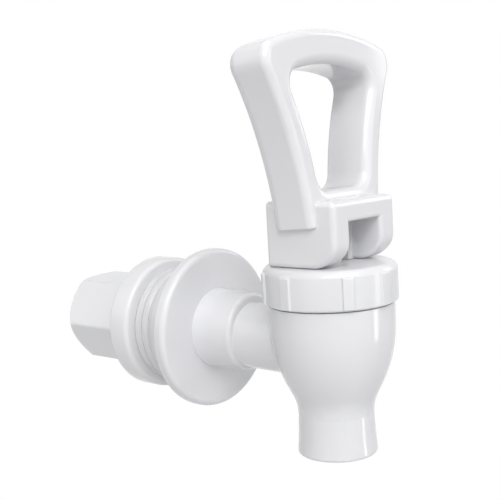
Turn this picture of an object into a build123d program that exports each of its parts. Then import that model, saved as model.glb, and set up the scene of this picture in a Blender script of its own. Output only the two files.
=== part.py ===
from build123d import *
import os
from math import cos, pi, radians, sin, tan

# Water purifier tap: a self-closing lever tap on a threaded shank that is clamped in a tank wall.
# The origin is the centre of the disc flange's back face, on the shank's axis.
# The user and the spout are on the -Y side, the tank is on the +Y side, and +Z is up.

# Main places
reach = 41.4  # disc flange's back face to the spout's axis
rim_rise = 10.1  # shank's axis up to the bonnet cap's lower edge
spout_drop = 27.2  # shank's axis down to the spout's lip

# Disc flange, collar and neck
disc_radius = 21.2
disc_thick = 3.8
disc_front_round = 1.4
disc_back_round = 0.9
collar_length = 12.2
collar_base_radius = 10.7
collar_end_radius = 10.0
collar_round = 1.1
neck_radius = 8.6
neck_drop = 0.8  # neck's axis below the shank's axis
neck_blend = 0.8

# Bell and spout
bell_radius = 15.3
bell_straight = 5.0  # straight part of the bell below the bonnet cap
shoulder_radius = 34.0
shoulder_angle = 27.0  # steepest slope of the bell, from the vertical
throat_radius = 10.0
spout_radius = 9.3
lip_radius = 9.85
lip_round = 0.6
mouth_chamfer = 0.5

# Water way
inlet_radius = 5.0  # bore of the shank
inlet_end = 6.5  # disc flange's back face to the step at the end of the shank's bore
feed_radius = 4.6  # narrower way from the shank's bore to the chamber
chamber_radius = 10.8
chamber_floor = 6.6  # shank's axis down to the chamber's floor
outlet_radius = 6.6
mouth_radius = 7.0
mouth_depth = 6.0
seat_height = 1.4
seat_width = 1.3

# Threaded shank
shank_radius = 8.0
shank_chamfer = 0.9
shank_recess = 6.0  # shank's end inside the lock nut's rear face

# Bonnet cap
cap_radius = 16.4
cap_height = 9.4
cap_top_thick = 2.5
cap_top_round = 1.9
cap_foot_round = 0.7
cap_gap = 0.3  # open line between the cap and the bell
rim_radius = 13.4  # the body's threaded rim, inside the cap
thread_play = 0.1
guide_radius = 4.2
guide_length = 3.0
rib_pairs = 4
rib_pair_pitch = 36.0  # angle between the two ribs of a pair
rib_turn = -21.5  # first pair, as the cap came to stand when it was tightened
rib_width = 2.7
rib_proud = 0.32
rib_root = 0.8
rib_rise = 7.9
rib_round = 0.25

# Valve stem
stem_radius = 3.0
stem_play = 0.1
stem_base_radius = 6.4
stem_base_thick = 2.4
nub_neck_radius = 2.0
nub_neck_length = 1.2
nub_head_radius = 3.3
nub_head_length = 1.6
eye_radius = 3.3
eye_play = 0.3  # side play of the stem's eye in the yoke's pocket

# Seat cup
cup_flange_thick = 1.2
cup_flange_inset = 0.3
cup_radius = 8.5
cup_wall = 1.2
cup_plug_thick = 4.6
cup_play = 0.1
cup_round = 0.9

# Return spring
wire_radius = 0.45
spring_radius = 5.2
spring_turns = 6
spring_seat = 0.05

# Lever's yoke
cam_base = 6.4  # pin's axis down to the yoke's foot
cam_rise = 3.8  # lift of the pin for each radian of tilt
cam_end = 48.0  # tilt at which the rolling curve ends
cam_points = 7
foot_gap = 0.1
yoke_half_width = 12.5
yoke_front = 10.9
yoke_back = 9.1
yoke_top = 9.0  # pin's axis up to the yoke's top
yoke_front_round = 1.6
yoke_back_round = 0.8
yoke_side_round = 1.3
slot_half_width = 6.3
slot_top = 4.0  # pin's axis up to the slot's roof
slot_round = 0.9
pocket_half_width = 4.6  # narrower end of the slot, around the stem's eye
pocket_front = 2.4  # pin's axis forward to the pocket's mouth
pocket_back = 4.6  # pin's axis back to the pocket's end

# Lever's finger loop, seen from the front
loop_lean = 3.8  # degrees that the loop leans back
loop_front = 6.4  # loop's front face before the pin's axis
loop_depth = 12.0
foot_half_width = 14.2
foot_rise = 3.1
waist_half_width = 17.0
waist_rise = 20.4
shoulder_half_width = 26.4
crown_rise = 48.3
crown_bow = 5.1  # crown's middle above the loop's shoulders
crown_round = 4.6
loop_front_round = 1.8
loop_back_round = 3.4
sole_round = 0.5
opening_foot_half_width = 8.9
opening_foot_rise = 11.4
opening_waist_half_width = 11.4
opening_waist_rise = 23.6
opening_top_half_width = 16.8
crown_thick = 8.0  # crown's middle above the opening
opening_bow = 2.8  # opening's middle above its top corners
opening_top_round = 3.6
opening_foot_round = 4.2
opening_front_round = 2.4
opening_back_round = 0.6

# Cross pin
pin_radius = 1.7
pin_play = 0.06
pin_seat = 0.02
pin_blind = 3.4  # pin's depth in the leg with the blind hole
pin_recess = 0.3

# Gaskets and lock nut
gasket_radius = 16.9
gasket_thick = 5.9
gasket_bore_play = 0.15
gasket_round = 0.7
ribbed_radius = 15.6
ribbed_thick = 7.6
ribbed_root = 1.1
ribbed_count = 3
nut_flange_radius = 18.1
nut_flange_thick = 6.9
nut_front_round = 1.3
nut_back_round = 0.7
hex_flats = 23.0
hex_length = 25.2
hex_turn = 56.0
hex_chamfer = 42.0  # slope of the rear chamfer, from the hexagon's sides
nut_play = 0.08
nut_mouth_chamfer = 0.9

os.makedirs("parts", exist_ok=True)

# Places that follow from the sizes above
cap_top = rim_rise + cap_height
cap_ceiling = cap_top - cap_top_thick
rim_top = cap_ceiling - cup_flange_thick
seat_z = seat_height - chamber_floor
cup_floor = seat_z + cup_plug_thick
stem_base_top = cup_floor + stem_base_thick
foot_z = cap_top + foot_gap
pin_z = foot_z + cam_base
nut_front = gasket_thick + ribbed_thick
nut_rear = nut_front + nut_flange_thick + hex_length
shank_tip = nut_rear - shank_recess
collar_front = disc_thick + collar_length
shoulder_rise = crown_rise - crown_bow
opening_crown_rise = crown_rise - crown_thick
opening_top_rise = opening_crown_rise - opening_bow

spout_plane = Plane.XZ.offset(reach)  # local x is the radius, local y is the height
spout_axis = Axis((0, -reach, 0), (0, 0, 1))
lever_plane = Plane(origin=(0, -reach, pin_z), x_dir=(0, 1, 0), z_dir=(1, 0, 0))

# Body: bell, spout, neck, collar, disc flange and hollow shank, moulded as one piece
shoulder_drop = shoulder_radius * sin(radians(shoulder_angle))
shoulder_end_radius = bell_radius - shoulder_radius * (1 - cos(radians(shoulder_angle)))
throat_start_radius = spout_radius + throat_radius * (1 - cos(radians(shoulder_angle)))
shoulder_end_z = rim_rise - bell_straight - shoulder_drop
throat_start_z = shoulder_end_z - (shoulder_end_radius - throat_start_radius) / tan(radians(shoulder_angle))

with BuildPart() as valve_body:
    with BuildSketch(Plane.XY):
        with BuildLine():
            FilletPolyline(
                (0, shank_tip),
                (shank_radius - shank_chamfer, shank_tip),
                (shank_radius, shank_tip - shank_chamfer),
                (shank_radius, 0),
                (disc_radius, 0),
                (disc_radius, -disc_thick),
                (collar_base_radius, -disc_thick),
                (collar_end_radius, -collar_front),
                (0, -collar_front),
                radius=(0, 0, 0, 0, disc_back_round, disc_front_round, 0, collar_round, 0),
                close=True,
            )
        make_face()
    revolve(axis=Axis.Y)
    with BuildSketch(Plane.XZ.offset(collar_front)):
        with Locations((0, -neck_drop)):
            Circle(neck_radius)
    extrude(amount=reach - collar_front)
    with BuildSketch(spout_plane):
        with BuildLine():
            top = Line((0, rim_rise - cap_gap), (bell_radius, rim_rise - cap_gap))
            side = Line(top @ 1, (bell_radius, rim_rise - bell_straight))
            shoulder = JernArc(side @ 1, (0, -1), shoulder_radius, -shoulder_angle)
            slope = Line(shoulder @ 1, (throat_start_radius, throat_start_z))
            throat = JernArc(slope @ 1, slope % 1, throat_radius, shoulder_angle)
            flare = TangentArc(throat @ 1, (lip_radius, -spout_drop), tangent=throat % 1)
            lip = Line(flare @ 1, (0, -spout_drop))
            Line(lip @ 1, top @ 0)
        make_face()
    revolve(axis=spout_axis)
    neck_seams = valve_body.edges().filter_by(GeomType.BSPLINE)
    fillet(neck_seams, neck_blend)
    fillet(valve_body.edges().group_by(Axis.Z)[0], lip_round)
    with Locations((0, -reach, rim_rise - cap_gap)):
        Cylinder(rim_radius, rim_top - rim_rise + cap_gap, align=(Align.CENTER, Align.CENTER, Align.MIN))
    with BuildSketch(spout_plane):
        with BuildLine():
            Polyline(
                (0, rim_top),
                (chamber_radius, rim_top),
                (chamber_radius, -chamber_floor),
                (outlet_radius + seat_width, -chamber_floor),
                (outlet_radius + seat_width, seat_z),
                (outlet_radius, seat_z),
                (outlet_radius, mouth_depth - spout_drop),
                (mouth_radius, mouth_depth - spout_drop),
                (mouth_radius, mouth_chamfer - spout_drop),
                (mouth_radius + mouth_chamfer, -spout_drop),
                (0, -spout_drop),
                close=True,
            )
        make_face()
    revolve(axis=spout_axis, mode=Mode.SUBTRACT)
    with BuildSketch(Plane.XZ.offset(-shank_tip)):
        Circle(inlet_radius)
    extrude(amount=shank_tip - inlet_end, mode=Mode.SUBTRACT)
    with BuildSketch(Plane.XZ.offset(-inlet_end)):
        Circle(feed_radius)
    extrude(amount=inlet_end + reach - outlet_radius, mode=Mode.SUBTRACT)
valve_body.part.label = "valve_body"
export_step(valve_body.part, "parts/valve_body.step")

# Bonnet cap: screws down on the body's rim, guides the stem and carries the lever's foot
with BuildPart() as bonnet_cap:
    with BuildSketch(spout_plane):
        with BuildLine():
            FilletPolyline(
                (stem_radius + stem_play, cap_top),
                (cap_radius, cap_top),
                (cap_radius, rim_rise),
                (rim_radius + thread_play, rim_rise),
                (rim_radius + thread_play, cap_ceiling),
                (guide_radius, cap_ceiling),
                (guide_radius, cap_ceiling - guide_length),
                (stem_radius + stem_play, cap_ceiling - guide_length),
                radius=(0, cap_top_round, cap_foot_round, 0, 0, 0, 0, 0),
                close=True,
            )
        make_face()
    revolve(axis=spout_axis)
    with BuildSketch(Plane.XY.offset(rim_rise).move(Location((0, -reach, cap_foot_round)))):
        for pair in range(rib_pairs):
            for side_of_pair in (-0.5, 0.5):
                turn = -90 + rib_turn + 360 / rib_pairs * pair + rib_pair_pitch * side_of_pair
                with PolarLocations(cap_radius + (rib_proud - rib_root) / 2, 1, turn):
                    RectangleRounded(rib_root + rib_proud, rib_width, rib_round)
    extrude(amount=rib_rise - cap_foot_round)
bonnet_cap.part.label = "bonnet_cap"
export_step(bonnet_cap.part, "parts/bonnet_cap.step")

# Seat cup: a soft cup whose flange is clamped under the cap and whose plug closes the outlet
with BuildPart() as seat_cup:
    with BuildSketch(spout_plane):
        with BuildLine():
            FilletPolyline(
                (0, seat_z),
                (cup_radius, seat_z),
                (cup_radius, rim_top),
                (rim_radius - cup_flange_inset, rim_top),
                (rim_radius - cup_flange_inset, cap_ceiling),
                (cup_radius - cup_wall, cap_ceiling),
                (cup_radius - cup_wall, cup_floor),
                (nub_neck_radius + cup_play, cup_floor),
                (nub_neck_radius + cup_play, cup_floor - nub_neck_length + cup_play),
                (nub_head_radius + cup_play, cup_floor - nub_neck_length + cup_play),
                (nub_head_radius + cup_play, cup_floor - nub_neck_length - nub_head_length - cup_play),
                (0, cup_floor - nub_neck_length - nub_head_length - cup_play),
                radius=(0, cup_round, 0, 0, 0, 0, 0, 0, 0, 0, 0, 0),
                close=True,
            )
        make_face()
    revolve(axis=spout_axis)
seat_cup.part.label = "seat_cup"
export_step(seat_cup.part, "parts/seat_cup.step")

# Valve stem: base in the seat cup, round rod through the cap, cross eye for the lever's pin
with BuildPart() as valve_stem:
    with BuildSketch(spout_plane):
        with BuildLine():
            Polyline(
                (0, cup_floor - nub_neck_length - nub_head_length),
                (nub_neck_radius, cup_floor - nub_neck_length - nub_head_length),
                (nub_head_radius, cup_floor - nub_neck_length),
                (nub_neck_radius, cup_floor - nub_neck_length),
                (nub_neck_radius, cup_floor),
                (stem_base_radius, cup_floor),
                (stem_base_radius, stem_base_top),
                (stem_radius, stem_base_top),
                (stem_radius, pin_z),
                (0, pin_z),
                close=True,
            )
        make_face()
    revolve(axis=spout_axis)
    with BuildSketch(lever_plane):
        Circle(eye_radius)
    extrude(amount=pocket_half_width - eye_play, both=True)
    with BuildSketch(lever_plane):
        Circle(pin_radius + pin_play)
    extrude(amount=pocket_half_width, both=True, mode=Mode.SUBTRACT)
valve_stem.part.label = "valve_stem"
export_step(valve_stem.part, "parts/valve_stem.step")

# Return spring: presses the stem's base down from the cap's ceiling
spring_low = stem_base_top + spring_seat + wire_radius
spring_high = cap_ceiling - spring_seat - wire_radius
with BuildPart() as return_spring:
    with BuildLine(Plane.XY.offset(spring_low).move(Location((0, -reach, 0)))) as coil:
        Helix((spring_high - spring_low) / spring_turns, spring_high - spring_low, spring_radius)
    with BuildSketch(Plane(origin=coil.wires()[0] @ 0, z_dir=coil.wires()[0] % 0)):
        Circle(wire_radius)
    sweep(path=coil.wires()[0], is_frenet=True)
return_spring.part.label = "return_spring"
export_step(return_spring.part, "parts/return_spring.step")


def cam_point(tilt):
    """Point of the yoke's foot that rolls on the cap when the lever is tilted, in the lever's plane."""
    lift = cam_base + cam_rise * tilt
    return (-lift * sin(tilt) - cam_rise * cos(tilt), -lift * cos(tilt) + cam_rise * sin(tilt))


# Lever's yoke: a straddling block whose lower front corner is an involute, so the lift follows the tilt
cam_stop = radians(cam_end)
cam_run_out = (yoke_front + cam_point(cam_stop)[0]) / (1 - sin(cam_stop))
with BuildPart() as yoke:
    with BuildSketch(lever_plane):
        with BuildLine():
            foot = Line((yoke_back, -cam_base), cam_point(0))
            rolling = Spline(
                [cam_point(cam_stop * step / (cam_points - 1)) for step in range(cam_points)],
                tangents=[(-1, 0), (-cos(cam_stop), sin(cam_stop))],
            )
            run_out = JernArc(rolling @ 1, (-cos(cam_stop), sin(cam_stop)), cam_run_out, cam_end - 90)
            front = Line(run_out @ 1, (-yoke_front, yoke_top))
            roof = Line(front @ 1, (yoke_back, yoke_top))
            Line(roof @ 1, foot @ 0)
        make_face()
    extrude(amount=yoke_half_width, both=True)
    roof_edges = yoke.faces().sort_by(Axis.Z)[-1].edges().filter_by(Axis.X).sort_by(Axis.Y)
    fillet(roof_edges[0], yoke_front_round)
    fillet(roof_edges[1], yoke_back_round)
    fillet(yoke.faces().filter_by(Axis.X).edges(), yoke_side_round)

# Lever handle: the finger loop and its yoke, moulded as one piece
loop_plane = Plane(
    origin=(0, -reach - loop_front, pin_z),
    x_dir=(1, 0, 0),
    z_dir=(0, -cos(radians(loop_lean)), sin(radians(loop_lean))),
)
loop_axis = Axis((0, 0, 0), loop_plane.z_dir)
with BuildPart() as lever_handle:
    with BuildSketch(loop_plane):
        with BuildLine():
            crown = ThreePointArc(
                (shoulder_half_width, shoulder_rise), (0, crown_rise), (-shoulder_half_width, shoulder_rise)
            )
            left_strut = ThreePointArc(
                crown @ 1, (-waist_half_width, waist_rise), (-foot_half_width, foot_rise)
            )
            sole = Line(left_strut @ 1, (foot_half_width, foot_rise))
            ThreePointArc(sole @ 1, (waist_half_width, waist_rise), crown @ 0)
        make_face()
    extrude(amount=-loop_depth)
    loop_corners = lever_handle.edges().filter_by(loop_axis).sort_by(Axis.Z)
    fillet(loop_corners[-2:], crown_round)
    for side, rim_round in ((0, loop_front_round), (-1, loop_back_round)):
        loop_rim = lever_handle.faces().filter_by(loop_axis).sort_by(Axis.Y)[side].edges()
        fillet(loop_rim.filter_by(Axis.X, reverse=True), rim_round)
    fillet(lever_handle.faces().sort_by(Axis.Z)[0].edges(), sole_round)
    with BuildSketch(loop_plane):
        with BuildLine():
            inner_crown = ThreePointArc(
                (opening_top_half_width, opening_top_rise),
                (0, opening_crown_rise),
                (-opening_top_half_width, opening_top_rise),
            )
            inner_left = ThreePointArc(
                inner_crown @ 1,
                (-opening_waist_half_width, opening_waist_rise),
                (-opening_foot_half_width, opening_foot_rise),
            )
            inner_sole = Line(inner_left @ 1, (opening_foot_half_width, opening_foot_rise))
            ThreePointArc(inner_sole @ 1, (opening_waist_half_width, opening_waist_rise), inner_crown @ 0)
        make_face()
    extrude(amount=-loop_depth, mode=Mode.SUBTRACT)
    opening_corners = lever_handle.edges(Select.LAST).filter_by(loop_axis).sort_by(Axis.Z)
    fillet(opening_corners[:2], opening_foot_round)
    fillet(opening_corners[2:], opening_top_round)
    for side, rim_round in ((0, opening_front_round), (-1, opening_back_round)):
        loop_face = lever_handle.faces().filter_by(loop_axis).sort_by(Axis.Y)[side]
        fillet(loop_face.inner_wires()[0].edges(), rim_round)
    add(yoke.part)
    for slot_end, half_width in ((-pocket_front, slot_half_width), (pocket_back, pocket_half_width)):
        with Locations((0, -reach + slot_end, pin_z + slot_top)):
            Box(
                2 * half_width,
                slot_end + 2 * yoke_front,
                slot_top + 2 * cam_base,
                align=(Align.CENTER, Align.MAX, Align.MAX),
                mode=Mode.SUBTRACT,
            )
    yoke_face = lever_handle.faces().filter_by(Axis.Y).sort_by(Axis.Y)[0]
    slot_edges = yoke_face.edges().filter_by(lambda e: abs(e.center().X) < slot_half_width + slot_round)
    fillet(slot_edges, slot_round)
    with BuildSketch(lever_plane.offset(-slot_half_width - pin_blind)):
        Circle(pin_radius + pin_seat)
    extrude(amount=slot_half_width + pin_blind + foot_half_width, mode=Mode.SUBTRACT)
lever_handle.part.label = "lever_handle"
export_step(lever_handle.part, "parts/lever_handle.step")

# Cross pin: pushed in from the far side, through the stem's eye, into a blind hole
with BuildPart() as lever_pin:
    with BuildSketch(lever_plane.offset(-slot_half_width - pin_blind)):
        Circle(pin_radius)
    extrude(amount=slot_half_width + pin_blind + yoke_half_width - pin_recess)
    chamfer(lever_pin.edges(), pin_recess)
lever_pin.part.label = "lever_pin"
export_step(lever_pin.part, "parts/lever_pin.step")

# Front gasket: a thick plain ring behind the disc flange
bore_radius = shank_radius + gasket_bore_play
with BuildPart() as front_gasket:
    with BuildSketch(Plane.XY):
        with BuildLine():
            FilletPolyline(
                (bore_radius, 0),
                (gasket_radius, 0),
                (gasket_radius, gasket_thick),
                (bore_radius, gasket_thick),
                radius=(0, gasket_round, gasket_round, 0),
                close=True,
            )
        make_face()
    revolve(axis=Axis.Y)
front_gasket.part.label = "front_gasket"
export_step(front_gasket.part, "parts/front_gasket.step")

# Ribbed gasket: a softer ring with rounded ribs that give as the nut is tightened
rib_pitch = ribbed_thick / ribbed_count
ribbed_crest = ribbed_radius - ribbed_root
with BuildPart() as ribbed_gasket:
    with BuildSketch(Plane.XY):
        with BuildLine():
            start = (ribbed_crest, gasket_thick)
            for rib in range(ribbed_count):
                low = gasket_thick + rib_pitch * rib
                ThreePointArc(
                    (ribbed_crest, low), (ribbed_radius, low + rib_pitch / 2), (ribbed_crest, low + rib_pitch)
                )
            Polyline((ribbed_crest, nut_front), (bore_radius, nut_front), (bore_radius, gasket_thick), start)
        make_face()
    revolve(axis=Axis.Y)
ribbed_gasket.part.label = "ribbed_gasket"
export_step(ribbed_gasket.part, "parts/ribbed_gasket.step")

# Lock nut: round flange and a long hexagon with a chamfered rear end
hex_corner_radius = hex_flats / 2 / cos(pi / 6)
hex_front = nut_front + nut_flange_thick
with BuildPart() as lock_nut:
    with BuildSketch(Plane.XY):
        with BuildLine():
            FilletPolyline(
                (0, nut_front),
                (nut_flange_radius, nut_front),
                (nut_flange_radius, hex_front),
                (0, hex_front),
                radius=(0, nut_front_round, nut_back_round, 0),
                close=True,
            )
        make_face()
    revolve(axis=Axis.Y)
    with BuildSketch(Plane.XZ.offset(-hex_front)):
        RegularPolygon(hex_corner_radius, 6, rotation=-hex_turn)
    extrude(amount=-hex_length)
    with BuildSketch(Plane.XY):
        with BuildLine():
            cut_drop = (hex_corner_radius + nut_play - hex_flats / 2) / tan(radians(hex_chamfer))
            Polyline(
                (hex_flats / 2, nut_rear),
                (hex_corner_radius + nut_play, nut_rear - cut_drop),
                (hex_corner_radius + nut_play, nut_rear),
                close=True,
            )
        make_face()
    revolve(axis=Axis.Y, mode=Mode.SUBTRACT)
    with BuildSketch(Plane.XY):
        with BuildLine():
            Polyline(
                (0, nut_front),
                (shank_radius + nut_play, nut_front),
                (shank_radius + nut_play, nut_rear - nut_mouth_chamfer),
                (shank_radius + nut_play + nut_mouth_chamfer, nut_rear),
                (0, nut_rear),
                close=True,
            )
        make_face()
    revolve(axis=Axis.Y, mode=Mode.SUBTRACT)
lock_nut.part.label = "lock_nut"
export_step(lock_nut.part, "parts/lock_nut.step")
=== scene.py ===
# %% [markdown]
# # A water purifier tap
# This lesson dresses a tap that was drawn as solids: a finger-loop lever, a ribbed bonnet cap, a bell with
# its spout, and a shank with a disc flange, two soft rings and a long hexagon nut. The solids are the frame.
# They are never moved, and most already have the rounded edges of the real mouldings, so most of the work
# is in the finishes and the light. White plastic on a white ground shows its shape only by soft greys.

# %% Load the frame
import math

import bmesh
import bpy
from mathutils import Matrix, Vector


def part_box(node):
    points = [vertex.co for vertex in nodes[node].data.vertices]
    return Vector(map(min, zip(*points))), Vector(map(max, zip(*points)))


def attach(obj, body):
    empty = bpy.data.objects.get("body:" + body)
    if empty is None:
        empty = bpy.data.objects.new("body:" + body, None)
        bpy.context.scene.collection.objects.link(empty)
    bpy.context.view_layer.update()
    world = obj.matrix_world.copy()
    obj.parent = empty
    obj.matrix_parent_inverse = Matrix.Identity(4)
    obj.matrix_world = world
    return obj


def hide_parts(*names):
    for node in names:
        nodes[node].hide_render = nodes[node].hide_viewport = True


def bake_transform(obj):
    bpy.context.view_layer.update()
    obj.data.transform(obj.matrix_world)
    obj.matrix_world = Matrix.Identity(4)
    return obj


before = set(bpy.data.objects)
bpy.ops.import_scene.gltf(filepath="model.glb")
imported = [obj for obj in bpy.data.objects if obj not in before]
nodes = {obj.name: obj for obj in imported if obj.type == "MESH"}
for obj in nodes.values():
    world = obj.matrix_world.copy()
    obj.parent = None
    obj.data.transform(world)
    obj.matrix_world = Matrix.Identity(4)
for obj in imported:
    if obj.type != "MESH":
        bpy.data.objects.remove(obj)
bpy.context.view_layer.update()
MM = 0.001  # metres
print("solids:", ", ".join(sorted(nodes)))

# %% [markdown]
# ## Camera
# The photograph looks at the tap from its left front, a little from above, from only about 240 mm away, so
# near edges look larger than far ones. Turning and tracking a camera by eye would take long. A camera is
# also a matrix, whose columns are the directions to its right, up and back, and its place. The values here
# come from lining up circles and edges of the solids with the photograph, which is 500 pixels square.

# %% Camera
IMAGE_PIXELS = 500
FOCAL_PIXELS = 924.92
SENSOR_MM = 36.0
camera_right = Vector((0.6543, -0.7541, -0.0569)).normalized()
camera_back = Vector((-0.7451, -0.6557, 0.1220))
camera_back = (camera_back - camera_back.dot(camera_right) * camera_right).normalized()
camera_up = camera_back.cross(camera_right)
camera_place = Vector((-0.17758, -0.17254, 0.05050))

camera_data = bpy.data.cameras.new("photo_camera")
camera_data.sensor_width = SENSOR_MM
camera_data.lens = SENSOR_MM * FOCAL_PIXELS / IMAGE_PIXELS
camera_data.clip_start = 0.01
camera_data.clip_end = 20.0
camera = bpy.data.objects.new("photo_camera", camera_data)
bpy.context.collection.objects.link(camera)
columns = (camera_right, camera_up, camera_back, camera_place)
camera.matrix_world = Matrix([[c[row] for c in columns] for row in range(3)] + [[0.0, 0.0, 0.0, 1.0]])
bpy.context.scene.camera = camera
print("lens in mm:", round(camera_data.lens, 2))

# %% [markdown]
# ## Helpers for finishes
# Colours are written as hex values, as a paint program gives them, and turned to the linear values that
# the renderer works with. One small function adds a node to a tree, sets its properties and its sockets,
# and links a socket where it is given another node's output instead of a number. The same function serves
# the materials, the world and the Geometry Nodes further down.

# %% Colour and node helpers
def linear(hex_colour):
    """sRGB hex colour to linear red, green, blue and alpha."""
    channels = [int(hex_colour[i : i + 2], 16) / 255 for i in (1, 3, 5)]
    return [c / 12.92 if c <= 0.04045 else ((c + 0.055) / 1.055) ** 2.4 for c in channels] + [1.0]


def add_node(tree, kind, settings=None, **sockets):
    """Adds a node. Sockets are named with _ for a space, or by number as _3. They take a value or output."""
    node = tree.nodes.new(kind)
    for name, value in (settings or {}).items():
        setattr(node, name, value)
    for name, value in sockets.items():
        socket = node.inputs[int(name[1:])] if name[1:].isdigit() else node.inputs[name.replace("_", " ")]
        if isinstance(value, bpy.types.NodeSocket):
            tree.links.new(value, socket)
        else:
            socket.default_value = value
    return node


WHITE = "#FFFFFF"
PLASTIC_WHITE, PLASTIC_SHADE = "#E6E6E9", "#E3E3E6"
print("plastic white is", [round(c, 3) for c in linear(PLASTIC_WHITE)[:3]])

# %% [markdown]
# ## Moulded plastic
# Every white piece here came out of a steel mould. What tells the eye so is small: the pigment drifts in
# soft clouds where the melt flowed, the gloss is not quite even, and the polished steel leaves a very faint
# ripple that bends a reflection. A painted picture could hold that, but noise on Object coordinates needs
# no unwrapping and keeps its real size. A noise texture's Scale is the number of patches in a metre, so it
# is one over a size in millimetres. Real polishing ripple is some hundredths of a millimetre across and
# would not show, so it is drawn coarser.

# %% Moulded plastic
NOISE_LOW, NOISE_HIGH = 0.3, 0.7  # most of a noise texture's values lie between these
FLOW_DETAIL = 6.0


def moulded_plastic(name, tones, gloss, ior, flow_mm, ripple_mm, ripple_depth_mm, seed):
    """Two close tones in flow clouds, a gloss that drifts between two roughnesses, and the mould's ripple."""
    material = bpy.data.materials.new(name)
    material.use_nodes = True
    tree = material.node_tree
    shader = tree.nodes["Principled BSDF"]
    shader.inputs["IOR"].default_value = ior
    place = add_node(tree, "ShaderNodeTexCoord").outputs["Object"]
    seeded = {"noise_dimensions": "4D"}
    flow = add_node(
        tree, "ShaderNodeTexNoise", seeded, Vector=place, W=seed,
        Scale=1 / (flow_mm * MM), Detail=FLOW_DETAIL,
    )
    colour = add_node(
        tree, "ShaderNodeMix", {"data_type": "RGBA"},
        _0=flow.outputs[0], _6=linear(tones[0]), _7=linear(tones[1]),
    )
    tree.links.new(colour.outputs[2], shader.inputs["Base Color"])
    drift = add_node(
        tree, "ShaderNodeMapRange", Value=flow.outputs[0],
        From_Min=NOISE_LOW, From_Max=NOISE_HIGH, To_Min=gloss[0], To_Max=gloss[1],
    )
    tree.links.new(drift.outputs[0], shader.inputs["Roughness"])
    ripple = add_node(tree, "ShaderNodeTexNoise", seeded, Vector=place, W=seed, Scale=1 / (ripple_mm * MM))
    bump = add_node(tree, "ShaderNodeBump", Height=ripple.outputs[0], Distance=ripple_depth_mm * MM)
    tree.links.new(bump.outputs[0], shader.inputs["Normal"])
    return material


def dress(node_name, material):
    """Takes off the solid's plain colour and puts on its finish."""
    slots = nodes[node_name].data.materials
    slots.clear()
    slots.append(material)
    print(node_name, "is", material.name)


# %% [markdown]
# ## White ABS
# The body, the cap and the lever are ABS. Its pigment gives a bright, slightly cool white, and where the
# mould was polished its skin mirrors lamps as clear streaks with soft ends. The three could share one
# material, but each came from its own mould and shot, so each has its own clouds. The lever, which fingers
# rub, is the smoothest. The cap's mould was less polished: the photograph shows the bell's streak end at
# the cap, so its gloss is satin.

# %% White ABS of the body, the cap and the lever
ABS_IOR = 1.54
ABS_TONES = (PLASTIC_WHITE, PLASTIC_SHADE)
body_abs = moulded_plastic(
    "white_abs_polished_mould_body", tones=ABS_TONES, gloss=(0.09, 0.14), ior=ABS_IOR,
    flow_mm=24.0, ripple_mm=2.6, ripple_depth_mm=0.004, seed=1.0,
)
cap_abs = moulded_plastic(
    "white_abs_satin_mould_cap", tones=ABS_TONES, gloss=(0.18, 0.24), ior=ABS_IOR,
    flow_mm=14.0, ripple_mm=2.2, ripple_depth_mm=0.004, seed=4.0,
)
lever_abs = moulded_plastic(
    "white_abs_polished_mould_lever", tones=ABS_TONES, gloss=(0.05, 0.09), ior=ABS_IOR,
    flow_mm=18.0, ripple_mm=3.0, ripple_depth_mm=0.004, seed=9.0,
)
dress("valve_body", body_abs)
dress("lever_handle", lever_abs)

# %% [markdown]
# ## Satin polypropylene
# The lock nut is polypropylene, which is tough and a little waxy. Its white is slightly paler than that of
# the ABS, and light slips further into its skin, so its highlights are wider and weaker. A higher roughness
# and a finer ripple say that without a second kind of material.

# %% Polypropylene of the lock nut
nut_polypropylene = moulded_plastic(
    "white_polypropylene_satin_mould", tones=("#EDEDEF", "#EAEAEC"), gloss=(0.14, 0.2), ior=1.49,
    flow_mm=16.0, ripple_mm=1.4, ripple_depth_mm=0.004, seed=13.0,
)
print("made", nut_polypropylene.name, "for the lock nut")

# %% [markdown]
# ## Milky silicone
# The two rings that seal the tank wall and the cup that closes the valve seat are silicone rubber. Light
# goes a millimetre or two into it before it comes back, which softens the shade in its grooves. Real
# transmission would render slowly and show little, so a small share of subsurface scattering stands for it.

# %% Silicone of the rings and the seat cup
SCATTER_SHARE, SCATTER_MM = 0.15, 1.0
ring_silicone = moulded_plastic(
    "milky_silicone_satin_mould", tones=("#E0E0E3", "#DCDCDF"), gloss=(0.2, 0.28), ior=1.41,
    flow_mm=12.0, ripple_mm=0.9, ripple_depth_mm=0.003, seed=21.0,
)
silicone_shader = ring_silicone.node_tree.nodes["Principled BSDF"].inputs
silicone_shader["Subsurface Weight"].default_value = SCATTER_SHARE
silicone_shader["Subsurface Radius"].default_value = (1.0, 1.0, 1.0)  # alike for red, green and blue
silicone_shader["Subsurface Scale"].default_value = SCATTER_MM * MM
for ring in ("front_gasket", "seat_cup"):
    dress(ring, ring_silicone)

# %% [markdown]
# ## Turned lines of the ribbed ring
# The mould of the ribbed ring was turned on a lathe, and the tool left fine lines round it, which the
# photograph shows between the three broad ribs. The ribs themselves are in the solid. The lines are only
# some hundredths of a millimetre deep, so a Wave texture along the shank draws them as bump. A Wave texture
# multiplies each place by 20 before it takes the sine, which is why its Scale is divided by that factor.

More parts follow.
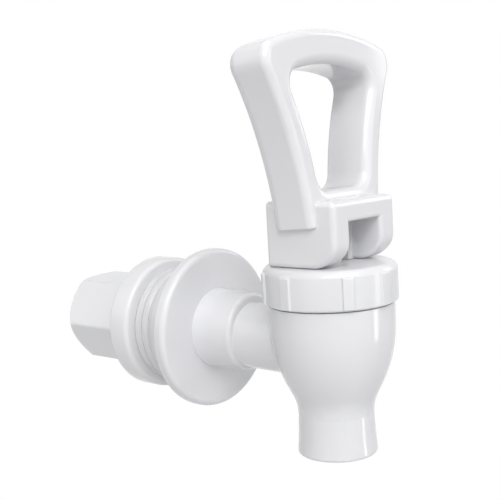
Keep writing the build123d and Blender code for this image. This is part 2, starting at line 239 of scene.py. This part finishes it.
# %% Turned silicone of the ribbed ring
LINE_PITCH_MM, LINE_DEPTH_MM = 0.8, 0.09
WAVE_FACTOR = 20
turned_silicone = ring_silicone.copy()
turned_silicone.name = "milky_silicone_turned_mould"
turned = turned_silicone.node_tree
lines = add_node(
    turned, "ShaderNodeTexWave", {"bands_direction": "Y"},
    Vector=add_node(turned, "ShaderNodeTexCoord").outputs["Object"],
    Scale=2 * math.pi / (WAVE_FACTOR * LINE_PITCH_MM * MM),
)
turned_shader = turned.nodes["Principled BSDF"].inputs
line_bump = add_node(
    turned, "ShaderNodeBump", Height=lines.outputs["Fac"], Distance=LINE_DEPTH_MM * MM,
    Normal=turned_shader["Normal"].links[0].from_socket,
)
turned.links.new(line_bump.outputs[0], turned_shader["Normal"])
dress("ribbed_gasket", turned_silicone)

# %% [markdown]
# ## Natural acetal
# The stem slides in the cap's guide each time the tap is used, so it is acetal, a hard and slippery plastic.
# It is left without pigment, which gives a slightly warmer and deeper white than the outer pieces.

# %% Acetal of the stem
stem_acetal = moulded_plastic(
    "natural_acetal_satin_mould", tones=("#DEDEDC", "#D8D8D5"), gloss=(0.26, 0.34), ior=1.48,
    flow_mm=9.0, ripple_mm=0.8, ripple_depth_mm=0.004, seed=31.0,
)
dress("valve_stem", stem_acetal)

# %% [markdown]
# ## Ground and drawn steel
# The cross pin is ground stainless steel and the return spring is drawn stainless wire. Both finishes are
# fine scratches that run one way: round the pin, and along the wire's turns. An anisotropic shader would
# need tangents, so noise that is squeezed along one axis draws the scratches in the roughness and the bump.
# Real scratches are about a hundredth of a millimetre wide, too fine to show, so they are drawn ten times
# as wide.

# %% Steel of the cross pin and the return spring
STEEL, STEEL_SHADE = "#CFCDC9", "#B9B7B3"
SCRATCH_DEPTH_MM = 0.002


def scratched_steel(name, grain_mm, gloss, seed):
    """Stainless steel with scratches whose spacing along x, y and z is given in millimetres."""
    material = bpy.data.materials.new(name)
    material.use_nodes = True
    tree = material.node_tree
    shader = tree.nodes["Principled BSDF"]
    shader.inputs["Metallic"].default_value = 1.0
    place = add_node(tree, "ShaderNodeTexCoord").outputs["Object"]
    squeeze = add_node(tree, "ShaderNodeMapping", Vector=place, Scale=[1 / (size * MM) for size in grain_mm])
    scratches = add_node(
        tree, "ShaderNodeTexNoise", {"noise_dimensions": "4D"}, Vector=squeeze.outputs[0], W=seed, Scale=1.0
    )
    colour = add_node(
        tree, "ShaderNodeMix", {"data_type": "RGBA"},
        _0=scratches.outputs[0], _6=linear(STEEL), _7=linear(STEEL_SHADE),
    )
    tree.links.new(colour.outputs[2], shader.inputs["Base Color"])
    drift = add_node(
        tree, "ShaderNodeMapRange", Value=scratches.outputs[0],
        From_Min=NOISE_LOW, From_Max=NOISE_HIGH, To_Min=gloss[0], To_Max=gloss[1],
    )
    tree.links.new(drift.outputs[0], shader.inputs["Roughness"])
    bump = add_node(tree, "ShaderNodeBump", Height=scratches.outputs[0], Distance=SCRATCH_DEPTH_MM * MM)
    tree.links.new(bump.outputs[0], shader.inputs["Normal"])
    return material


dress("lever_pin", scratched_steel("stainless_steel_ground", (0.1, 4.0, 4.0), (0.2, 0.34), 41.0))
dress("return_spring", scratched_steel("stainless_steel_drawn_wire", (3.0, 3.0, 0.1), (0.25, 0.4), 47.0))

# %% [markdown]
# ## Lock nut
# The nut is a round collar and a long hexagon with a chamfered end, moulded in one. On the real nut every
# edge is a little rounded, and those soft edges catch the light, while the solid's hexagon has knife edges.
# A Bevel modifier could round it, but it stumbles where the chamfer's arcs meet the corners. So the nut is
# built as rings of points round the shank, one after the other along its section. Each ring has a radius
# for each angle: a circle on the collar, a rounded hexagon further back, and the smaller of hexagon and
# cone at the chamfer. A smooth minimum rounds the arcs where the two meet.

# %% Rounded hexagon
NUT_STEPS = 288
HEX_FLATS, HEX_ROUND = 23.0, 0.9
HEX_TURN = math.radians(4.0)
SIXTH = math.pi / 3


def hexagon(angle):
    """Radius in mm of a hexagon with rounded corners, at an angle round the shank."""
    off = abs((angle - HEX_TURN + SIXTH / 2) % SIXTH - SIXTH / 2)
    reach = (HEX_FLATS / 2 - HEX_ROUND) / math.cos(SIXTH / 2)
    if off < math.atan2(HEX_ROUND * math.sin(SIXTH / 2), reach + HEX_ROUND * math.cos(SIXTH / 2)):
        return reach * math.cos(off) + math.sqrt(HEX_ROUND**2 - (reach * math.sin(off)) ** 2)
    return HEX_FLATS / 2 / math.cos(SIXTH / 2 - off)


angles = [2 * math.pi * step / NUT_STEPS for step in range(NUT_STEPS)]
outline = [hexagon(angle) for angle in angles]
print("hexagon radius in mm:", round(min(outline), 2), "to", round(max(outline), 2))

# %% Rings of the nut
BORE, MOUTH = 8.08, 0.9
COLLAR_RADIUS, COLLAR_THICK = 18.1, 6.9
FRONT_ROUND, BACK_ROUND, ROOT_ROUND = 1.3, 0.7, 0.5
CHAMFER_SLOPE = math.tan(math.radians(42.0))
CHAMFER_STEPS, CHAMFER_REACH, EDGE_SOFT = 28, 3.2, 0.12
ROUND_STEPS = 6
nut_front, nut_end = [round(corner[1] / MM, 3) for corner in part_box("lock_nut")]
collar_back = nut_front + COLLAR_THICK
quarter = [math.pi / 2 * step / ROUND_STEPS for step in range(ROUND_STEPS + 1)]


def soft_minimum(a, b):
    """The smaller of two radii, eased where they are about equal."""
    gap = max(EDGE_SOFT - abs(a - b), 0.0) / EDGE_SOFT
    return min(a, b) - gap * gap * EDGE_SOFT / 4


rings = [(nut_front, [BORE] * NUT_STEPS)]
for turn in quarter:
    radius = COLLAR_RADIUS - FRONT_ROUND * (1 - math.sin(turn))
    rings.append((nut_front + FRONT_ROUND * (1 - math.cos(turn)), [radius] * NUT_STEPS))
for turn in quarter:
    radius = COLLAR_RADIUS - BACK_ROUND * (1 - math.cos(turn))
    rings.append((collar_back - BACK_ROUND * (1 - math.sin(turn)), [radius] * NUT_STEPS))
for turn in quarter:
    root = ROOT_ROUND * (1 - math.sin(turn))
    rings.append((collar_back + ROOT_ROUND * (1 - math.cos(turn)), [r + root for r in outline]))
for step in range(CHAMFER_STEPS + 1):
    y = nut_end - CHAMFER_REACH * (1 - step / CHAMFER_STEPS)
    cone = HEX_FLATS / 2 + (nut_end - y) * CHAMFER_SLOPE
    rings.append((y, [soft_minimum(r, cone) for r in outline]))
rings.append((nut_end, [BORE + MOUTH] * NUT_STEPS))
rings.append((nut_end - MOUTH, [BORE] * NUT_STEPS))
print("nut has", len(rings), "rings from y", round(nut_front, 1), "to", round(nut_end, 1), "mm")

# %% Skin of the nut
SHARP_ANGLE = math.radians(35.0)


def ring_skin(name, rings, angles, put):
    """A closed skin over rings of points. put(angle, radius, along) gives a point's place in millimetres."""
    shape = bmesh.new()
    grid = [
        [shape.verts.new(Vector(put(a, r, along)) * MM) for a, r in zip(angles, radii)]
        for along, radii in rings
    ]
    for here, there in zip(grid, grid[1:] + grid[:1]):
        for step in range(len(angles)):
            following = (step + 1) % len(angles)
            shape.faces.new((here[step], here[following], there[following], there[step])).smooth = True
    bmesh.ops.recalc_face_normals(shape, faces=shape.faces)
    mesh = bpy.data.meshes.new(name)
    shape.to_mesh(mesh)
    shape.free()
    mesh.set_sharp_from_angle(angle=SHARP_ANGLE)
    piece = bpy.data.objects.new(name, mesh)
    bpy.context.collection.objects.link(piece)
    print(name, "has", len(mesh.polygons), "faces")
    return piece


soft_nut = ring_skin(
    "soft_edged_nut", rings, angles, lambda angle, r, y: (r * math.cos(angle), y, r * math.sin(angle))
)
soft_nut.data.materials.append(nut_polypropylene)
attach(soft_nut, "tap_body")
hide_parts("lock_nut")

# %% [markdown]
# ## Ribbed bonnet cap
# Four pairs of upright ribs give fingers a hold when the cap is screwed on. In the photograph they seem to
# stand out by half a millimetre, end below the rounded top, and have soft edges that catch the light, while
# the ribs of the solid are fainter. Eight rounded boxes could be set on the wall, but then each would meet
# it in a hard line. The rings of the nut do better here too: the ribs are a rise of the radius at eight
# angles, with points set close together only where the rise begins and ends. The wall is a fifth of a
# millimetre inside the solid's, so that the ribs don't reach further out than its own.

# %% Rise of the ribs
CAP_WALL, RIB_PROUD = 16.2, 0.5
RIB_WIDTH, RIB_EDGE = 2.7, 0.3
RIB_TURN, RIB_PAIR, RIB_PAIRS = -21.5, 36.0, 4
FRONT = -90  # angle round the cap that faces the user
COARSE_STEP, EDGE_STEPS = 1.5, 7
rib_angles = [
    math.radians(FRONT + RIB_TURN + 360 / RIB_PAIRS * pair + RIB_PAIR * side)
    for pair in range(RIB_PAIRS) for side in (-0.5, 0.5)
]


def smooth(share):
    """Eases a share from 0 to 1."""
    share = min(max(share, 0.0), 1.0)
    return share * share * (3 - 2 * share)


def rib_rise(angle):
    """From 0 on the wall to 1 on a rib, at an angle round the cap."""
    nearest = min(abs((angle - rib + math.pi) % (2 * math.pi) - math.pi) for rib in rib_angles)
    return smooth((RIB_WIDTH / 2 + RIB_EDGE / 2 - nearest * CAP_WALL) / RIB_EDGE)


cap_angles = {math.radians(COARSE_STEP * step) for step in range(round(360 / COARSE_STEP))}
for rib in rib_angles:
    for side in (-1, 1):
        for step in range(EDGE_STEPS):
            reach = RIB_WIDTH / 2 + RIB_EDGE * (step / (EDGE_STEPS - 1) - 0.5)
            cap_angles.add((rib + side * reach / CAP_WALL) % (2 * math.pi))
cap_angles = sorted(cap_angles)
rises = [rib_rise(angle) for angle in cap_angles]
print("cap has", len(cap_angles), "angles, ribs at", [round(math.degrees(rib)) for rib in rib_angles])

# %% Rings of the cap
TOP_ROUND, FOOT_ROUND, TOP_THICK = 1.9, 0.7, 2.5
STEM_HOLE, GUIDE_RADIUS, GUIDE_LENGTH, RIM_RADIUS = 3.1, 4.2, 3.0, 13.5
RIB_FOOT, RIB_TOP, RIB_END = 0.15, 8.0, 0.35
cap_foot, cap_top = [round(corner[2] / MM, 3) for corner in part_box("bonnet_cap")]
cap_axis = sum(corner[1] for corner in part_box("bonnet_cap")) / 2 / MM


def wall_radius(z):
    """Radius of the cap's outer wall between the ribs, with its rounded top and foot."""
    over = max(z - (cap_top - TOP_ROUND), 0.0)
    under = max(cap_foot + FOOT_ROUND - z, 0.0)
    radius = CAP_WALL - TOP_ROUND + math.sqrt(max(TOP_ROUND**2 - over**2, 0.0))
    return radius - FOOT_ROUND + math.sqrt(max(FOOT_ROUND**2 - under**2, 0.0))


heights = {cap_top - TOP_ROUND * (1 - math.cos(turn)) for turn in quarter}
heights |= {cap_foot + FOOT_ROUND * (1 - math.cos(turn)) for turn in quarter}
heights |= {cap_foot + RIB_TOP - RIB_END * step / ROUND_STEPS for step in range(ROUND_STEPS + 1)}
heights |= {cap_foot + RIB_FOOT + RIB_END * step / ROUND_STEPS for step in range(ROUND_STEPS + 1)}
guide_foot = cap_top - TOP_THICK - GUIDE_LENGTH
inside = [
    (cap_foot, RIM_RADIUS), (cap_top - TOP_THICK, RIM_RADIUS), (cap_top - TOP_THICK, GUIDE_RADIUS),
    (guide_foot, GUIDE_RADIUS), (guide_foot, STEM_HOLE), (cap_top, STEM_HOLE),
]
cap_rings = []
for z in sorted(heights, reverse=True):
    end = smooth((cap_foot + RIB_TOP - z) / RIB_END) * smooth((z - cap_foot - RIB_FOOT) / RIB_END)
    cap_rings.append((z, [wall_radius(z) + RIB_PROUD * end * rise for rise in rises]))
cap_rings += [(z, [radius] * len(cap_angles)) for z, radius in inside]
ribbed_cap = ring_skin(
    "ribbed_cap", cap_rings, cap_angles,
    lambda angle, r, z: (r * math.cos(angle), cap_axis + r * math.sin(angle), z),
)
ribbed_cap.data.materials.append(cap_abs)
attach(ribbed_cap, "tap_body")
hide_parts("bonnet_cap")

# %% [markdown]
# ## Return spring and seat cup
# Inside the cap, the spring gets shorter and the cup folds up as the lever lifts the stem. Their solids are
# right at rest, but each is one stiff shape, so in the open pose the stem's base would pass through them.
# A simulation would be much for two hidden pieces. Here each solid gives way to a plain copy of its mesh,
# which stays just as stiff, and the heights where its top would stay and its foot would move are printed.

# %% Copies of the spring and the cup
CUP_PLUG, CUP_FLANGE = 4.6, 1.2  # the plug moves whole, and the flange is clamped


def follow_stem(name, node_name, top_z, foot_z):
    """A copy of a solid's mesh, set where the solid is, which takes its place. top_z and foot_z, in mm, are
    only printed.
    """
    piece = bpy.data.objects.new(name, nodes[node_name].data.copy())
    bpy.context.collection.objects.link(piece)
    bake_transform(piece)
    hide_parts(node_name)
    print(name, "gives between z", round(foot_z, 1), "and", round(top_z, 1), "mm")


spring_low, spring_high = [corner[2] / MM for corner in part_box("return_spring")]
cup_low, cup_high = [corner[2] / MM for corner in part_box("seat_cup")]
follow_stem("coil_spring", "return_spring", spring_high, spring_low)
follow_stem("folding_cup", "seat_cup", cup_high - CUP_FLANGE, cup_low + CUP_PLUG)

# %% [markdown]
# ## Thread of the lock nut
# Behind the shank's end, the nut's bore is open, and its moulded thread can be seen from the back. The solid
# has a plain bore there. A thread could be modelled by hand as a swept screw, but it follows a rule: one
# profile along a helix. Geometry Nodes say that rule in a few nodes: a Spiral with equal radii is the helix,
# a trapezoid is the profile, and Curve to Mesh sweeps one along the other. The Scale of the sweep falls to
# a twentieth at both ends, as a thread runs out.

# %% Thread tree
TURN_STEPS = 96
thread_tree = bpy.data.node_groups.new("nut_thread_turns", "GeometryNodeTree")
for size in ("Bore Radius", "Pitch", "Turns", "Depth", "Root Width", "Crest Width", "First Turn"):
    thread_tree.interface.new_socket(size, in_out="INPUT", socket_type="NodeSocketFloat")
thread_tree.interface.new_socket("Finish", in_out="INPUT", socket_type="NodeSocketMaterial")
thread_tree.interface.new_socket("Thread", in_out="OUTPUT", socket_type="NodeSocketGeometry")
given = add_node(thread_tree, "NodeGroupInput").outputs
multiply, minimum = {"operation": "MULTIPLY"}, {"operation": "MINIMUM"}
rise = add_node(thread_tree, "ShaderNodeMath", multiply, _0=given["Pitch"], _1=given["Turns"])
helix = add_node(
    thread_tree, "GeometryNodeCurveSpiral", Resolution=TURN_STEPS, Rotations=given["Turns"],
    Start_Radius=given["Bore Radius"], End_Radius=given["Bore Radius"], Height=rise.outputs[0],
)
upright = add_node(thread_tree, "GeometryNodeSetCurveNormal", {"mode": "Z_UP"}, Curve=helix.outputs[0])
print("helix has", TURN_STEPS, "points a turn")

# %% Profile and sweep of the thread
RUN_OUT_TURNS, RUN_OUT_SCALE = 0.3, 0.05
ROOT_SHARE = 0.4  # moves the profile in, so that a tenth of it lies in the bore's wall
ridge = add_node(
    thread_tree, "GeometryNodeCurvePrimitiveQuadrilateral", {"mode": "TRAPEZOID"},
    Bottom_Width=given["Root Width"], Top_Width=given["Crest Width"], Height=given["Depth"], Offset=0.0,
)
along = add_node(thread_tree, "GeometryNodeSplineParameter").outputs["Factor"]
left = add_node(thread_tree, "ShaderNodeMath", {"operation": "SUBTRACT"}, _0=1.0, _1=along)
nearest = add_node(thread_tree, "ShaderNodeMath", minimum, _0=along, _1=left.outputs[0])
turns_left = add_node(thread_tree, "ShaderNodeMath", multiply, _0=nearest.outputs[0], _1=given["Turns"])
run_out = add_node(
    thread_tree, "ShaderNodeMapRange", Value=turns_left.outputs[0],
    From_Max=RUN_OUT_TURNS, To_Min=RUN_OUT_SCALE, To_Max=1.0,
)
rooted = add_node(thread_tree, "ShaderNodeMath", multiply, _0=given["Depth"], _1=ROOT_SHARE)
shift = add_node(thread_tree, "ShaderNodeCombineXYZ", X=rooted.outputs[0])
inward = add_node(
    thread_tree, "GeometryNodeTransform", Geometry=ridge.outputs[0],
    Translation=shift.outputs[0], Rotation=(0.0, 0.0, -math.pi / 2),
)
sweep = add_node(
    thread_tree, "GeometryNodeCurveToMesh", Curve=upright.outputs[0], Profile_Curve=inward.outputs[0],
    Scale=run_out.outputs[0], Fill_Caps=True,
)
first_place = add_node(thread_tree, "ShaderNodeCombineXYZ", Y=given["First Turn"])
laid = add_node(
    thread_tree, "GeometryNodeTransform", Geometry=sweep.outputs[0],
    Translation=first_place.outputs[0], Rotation=(-math.pi / 2, 0.0, 0.0),
)
plain = add_node(thread_tree, "GeometryNodeRealizeInstances", Geometry=laid.outputs[0])
finished = add_node(
    thread_tree, "GeometryNodeSetMaterial", Geometry=plain.outputs[0], Material=given["Finish"]
)
add_node(thread_tree, "NodeGroupOutput", Thread=finished.outputs[0])
print("thread tree has", len(thread_tree.nodes), "nodes")

# %% Thread piece


def grow(name, start_mesh, tree, sizes):
    """Runs a Geometry Nodes tree on a start mesh with named sizes, and keeps the result as a plain mesh."""
    piece = bpy.data.objects.new(name, start_mesh)
    bpy.context.collection.objects.link(piece)
    modifier = piece.modifiers.new(name, "NODES")
    modifier.node_group = tree
    for item in tree.interface.items_tree:
        if item.name in sizes:
            modifier[item.identifier] = sizes[item.name]
    bpy.context.view_layer.update()
    grown = piece.evaluated_get(bpy.context.evaluated_depsgraph_get())
    piece.data = bpy.data.meshes.new_from_object(grown)
    piece.modifiers.remove(modifier)
    print(name, "has", len(piece.data.polygons), "faces")
    return piece


shank_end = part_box("valve_body")[1][1]
PITCH = 1.5 * MM
thread_sizes = {
    "Bore Radius": BORE * MM,
    "Pitch": PITCH,
    "Turns": ((nut_end - MOUTH) * MM - shank_end) / PITCH - 1.0,
    "Depth": 0.9 * MM,
    "Root Width": 1.2 * MM,
    "Crest Width": 0.3 * MM,
    "First Turn": shank_end + PITCH / 2,
    "Finish": nut_polypropylene,
}
nut_thread = grow("nut_thread", bpy.data.meshes.new("nut_thread_start"), thread_tree, thread_sizes)
thread_radii = [math.hypot(v.co.x, v.co.z) / MM for v in nut_thread.data.vertices]
print("thread radius in mm:", round(min(thread_radii), 2), "to", round(max(thread_radii), 2))
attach(nut_thread, "tap_body")

# %% [markdown]
# ## Floor
# The tap hangs on a tank, so the floor lies well below the spout. It is a pale paint that catches a soft
# shadow. The photograph's ground is plain white, and more light on the floor would also burn out the tap. So
# rays that look at the floor, from the camera or off gloss, see mostly an even white, with a share of the
# lit paint near the tap that keeps the shadow. Rays that only carry light see the paint.

# %% Floor
FLOOR_DROP = 0.3
FLOOR_HALF = 3.0
floor_mesh = bpy.data.meshes.new("floor")
shape = bmesh.new()
bmesh.ops.create_grid(shape, x_segments=1, y_segments=1, size=FLOOR_HALF)
bmesh.ops.translate(shape, verts=shape.verts, vec=(0.0, 0.0, -FLOOR_DROP))
shape.to_mesh(floor_mesh)
shape.free()
floor = bpy.data.objects.new("floor", floor_mesh)
bpy.context.collection.objects.link(floor)
print("floor is", FLOOR_DROP, "m below the shank's axis")


def looking_rays(tree):
    """1 for rays that look at the studio: from the camera, off gloss, or through something clear."""
    rays = add_node(tree, "ShaderNodeLightPath").outputs
    looking = rays["Is Camera Ray"]
    for kind in ("Is Glossy Ray", "Is Transmission Ray"):
        looking = add_node(
            tree, "ShaderNodeMath", {"operation": "MAXIMUM"}, _0=looking, _1=rays[kind]
        ).outputs[0]
    return looking


# %% Floor paint
FLOOR_WHITE = "#D8D8D8"
SHADOW_SHARE = 0.25
SHADOW_NEAR, SHADOW_FAR = 0.3, 0.7
floor_paint = bpy.data.materials.new("pale_matt_floor_paint")
floor_paint.use_nodes = True
paint = floor_paint.node_tree
matt = paint.nodes["Principled BSDF"]
matt.inputs["Base Color"].default_value = linear(FLOOR_WHITE)
matt.inputs["Roughness"].default_value = 1.0
matt.inputs["Specular IOR Level"].default_value = 0.0
place = add_node(paint, "ShaderNodeTexCoord").outputs["Object"]
distance = add_node(paint, "ShaderNodeVectorMath", {"operation": "LENGTH"}, Vector=place)
even = add_node(
    paint, "ShaderNodeMapRange", Value=distance.outputs["Value"],
    From_Min=SHADOW_NEAR, From_Max=SHADOW_FAR, To_Min=1.0 - SHADOW_SHARE, To_Max=1.0,
)
share = add_node(paint, "ShaderNodeMath", multiply, _0=looking_rays(paint), _1=even.outputs[0])
even_white = add_node(paint, "ShaderNodeEmission", Color=linear(WHITE), Strength=1.0)
surface = add_node(
    paint, "ShaderNodeMixShader", _0=share.outputs[0], _1=matt.outputs[0], _2=even_white.outputs[0]
)
paint.links.new(surface.outputs[0], paint.nodes["Material Output"].inputs["Surface"])
floor_mesh.materials.append(floor_paint)
print("floor paint has", len(paint.nodes), "nodes")

# %% [markdown]
# ## World
# The studio's walls follow the floor: white at strength 1 where a ray looks at them, so that the ground is
# white and gloss mirrors a white room, and dim for rays that only carry light, so that the lamps do the
# modelling.

# %% World
WALL_FILL = 0.1
world = bpy.data.worlds.new("white_studio")
bpy.context.scene.world = world
world.use_nodes = True
sky = world.node_tree
walls = sky.nodes["Background"]
walls.inputs["Color"].default_value = linear(WHITE)
wall_light = add_node(sky, "ShaderNodeMapRange", Value=looking_rays(sky), To_Min=WALL_FILL, To_Max=1.0)
sky.links.new(wall_light.outputs[0], walls.inputs["Strength"])
print("walls give", WALL_FILL, "of white as fill")

# %% [markdown]
# ## Lamps
# The photograph's greys tell where its light came from. Tops are the palest, fronts are pale, the left sides
# are a clear grey, and the neck throws a soft shadow down the disc flange: so the main light came from high
# on the left front. Each lamp here is a soft box that faces the tap. Their strengths were found by rendering
# each lamp alone and mixing the pictures to fit the photograph, which works because light adds up. The two
# narrow strips hardly light the tap. They are there to be mirrored, as the streaks on the bell and the spout
# and the fine lines on the lever's edges. The lamps on the left side and at the back right are the other way
# round: they light the tap and are kept out of reflections, because gloss that is seen at a shallow angle
# would mirror them as a white glare that hides the shape.

# %% Lamps
AIM = Vector((0.0, -0.03, 0.02))


def soft_box(name, place, size, watts, mirrored=True):
    """A lamp of a width and height in metres that faces the tap and is seen only where gloss mirrors it."""
    data = bpy.data.lights.new(name, "AREA")
    data.shape = "RECTANGLE"
    data.size, data.size_y = size
    data.energy = watts
    lamp = bpy.data.objects.new(name, data)
    bpy.context.collection.objects.link(lamp)
    lamp.location = place
    lamp.rotation_euler = (AIM - Vector(place)).to_track_quat("-Z", "Y").to_euler()
    lamp.visible_camera = False
    lamp.visible_glossy = mirrored
    print(name, watts, "W")


soft_box("left_key", (-0.54, -0.48, 0.58), (0.4, 0.4), 2.7)
soft_box("front_key", (-0.18, -0.66, 0.64), (0.4, 0.4), 1.95)
soft_box("left_side", (-0.85, -0.15, 0.2), (0.5, 0.7), 2.5, mirrored=False)
soft_box("front_fill", (-0.2, -0.85, 0.2), (0.5, 0.5), 1.2)
soft_box("top", (0.0, -0.03, 0.9), (0.6, 0.6), 2.3)
soft_box("back_left", (-0.544, 0.618, 0.328), (0.5, 0.5), 0.5)
soft_box("back_right", (0.68, 0.60, 0.0), (0.5, 0.5), 2.6, mirrored=False)
soft_box("front_strip", (0.40, -0.723, 0.05), (0.13, 0.66), 1.0)
soft_box("side_strip", (0.725, -0.368, 0.29), (0.22, 0.36), 0.7)

# %% [markdown]
# ## View
# The Standard view shows colours as they were written.

# %% View
bpy.context.scene.view_settings.view_transform = "Standard"
